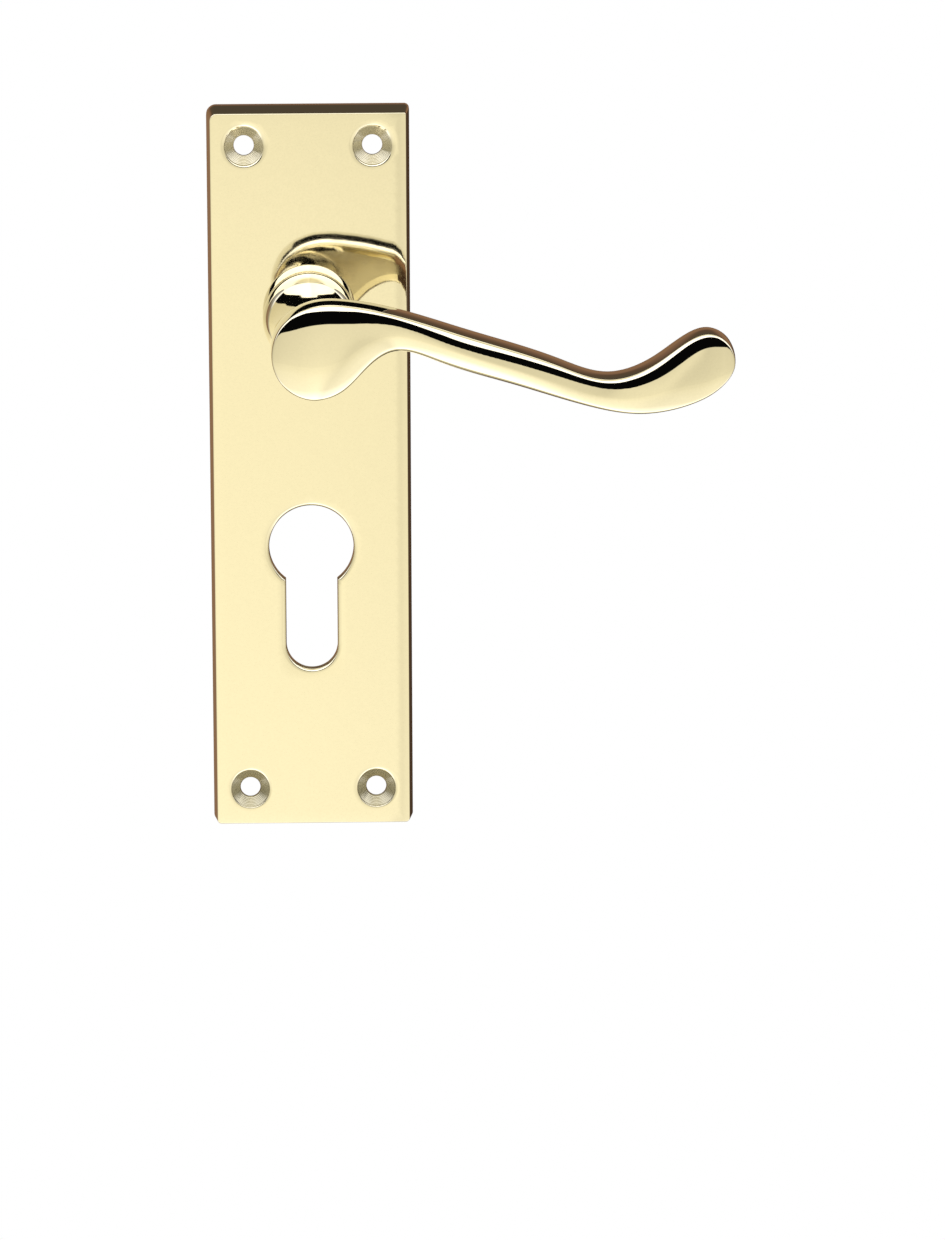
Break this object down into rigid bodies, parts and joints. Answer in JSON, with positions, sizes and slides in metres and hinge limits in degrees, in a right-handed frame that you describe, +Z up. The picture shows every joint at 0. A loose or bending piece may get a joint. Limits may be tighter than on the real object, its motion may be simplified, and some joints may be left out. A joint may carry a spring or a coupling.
{
  "type": "door lever handle",
  "caption": "Sprung scroll lever handle on a hollow rectangular backplate, with countersunk screw holes and a euro-profile cylinder cut-out.",
  "frame": {"origin": "where the spindle axis meets the door face, at the plate's back", "axes": "+X along the lever from spindle to tip, +Y into the door, +Z up along the plate"},
  "size_m": [0.1048, 0.0545, 0.1495],
  "materials": {
    "polished_brass": "mirror polished and lacquered",
    "satin_brass": "satin, dull from handling",
    "zinc_plated_steel": "bright zinc plate",
    "spring_steel": "drawn wire and strip, lightly oiled",
    "black_spring_steel": "black phosphate"
  },
  "bodies": {
    "backplate": {"backplate": "polished_brass", "bearing_sleeve": "satin_brass", "spring_housing": "zinc_plated_steel", "housing_screws": "zinc_plated_steel", "return_spring": "spring_steel"},
    "lever": {"lever": "polished_brass", "grub_screw": "black_spring_steel", "drive_cam": "zinc_plated_steel", "thrust_washer": "zinc_plated_steel", "wave_washer": "spring_steel", "circlip": "black_spring_steel"}
  },
  "joints": [
    {"name": "lever_turn", "type": "hinge", "parent": "backplate", "child": "lever", "pos_m": [0, 0, 0], "axis": [0, 1, 0], "range_deg": [0, 45], "stiffness_Nm_per_rad": 0.2, "springref_deg": -60.16, "deforming": ["return_spring"]}
  ]
}
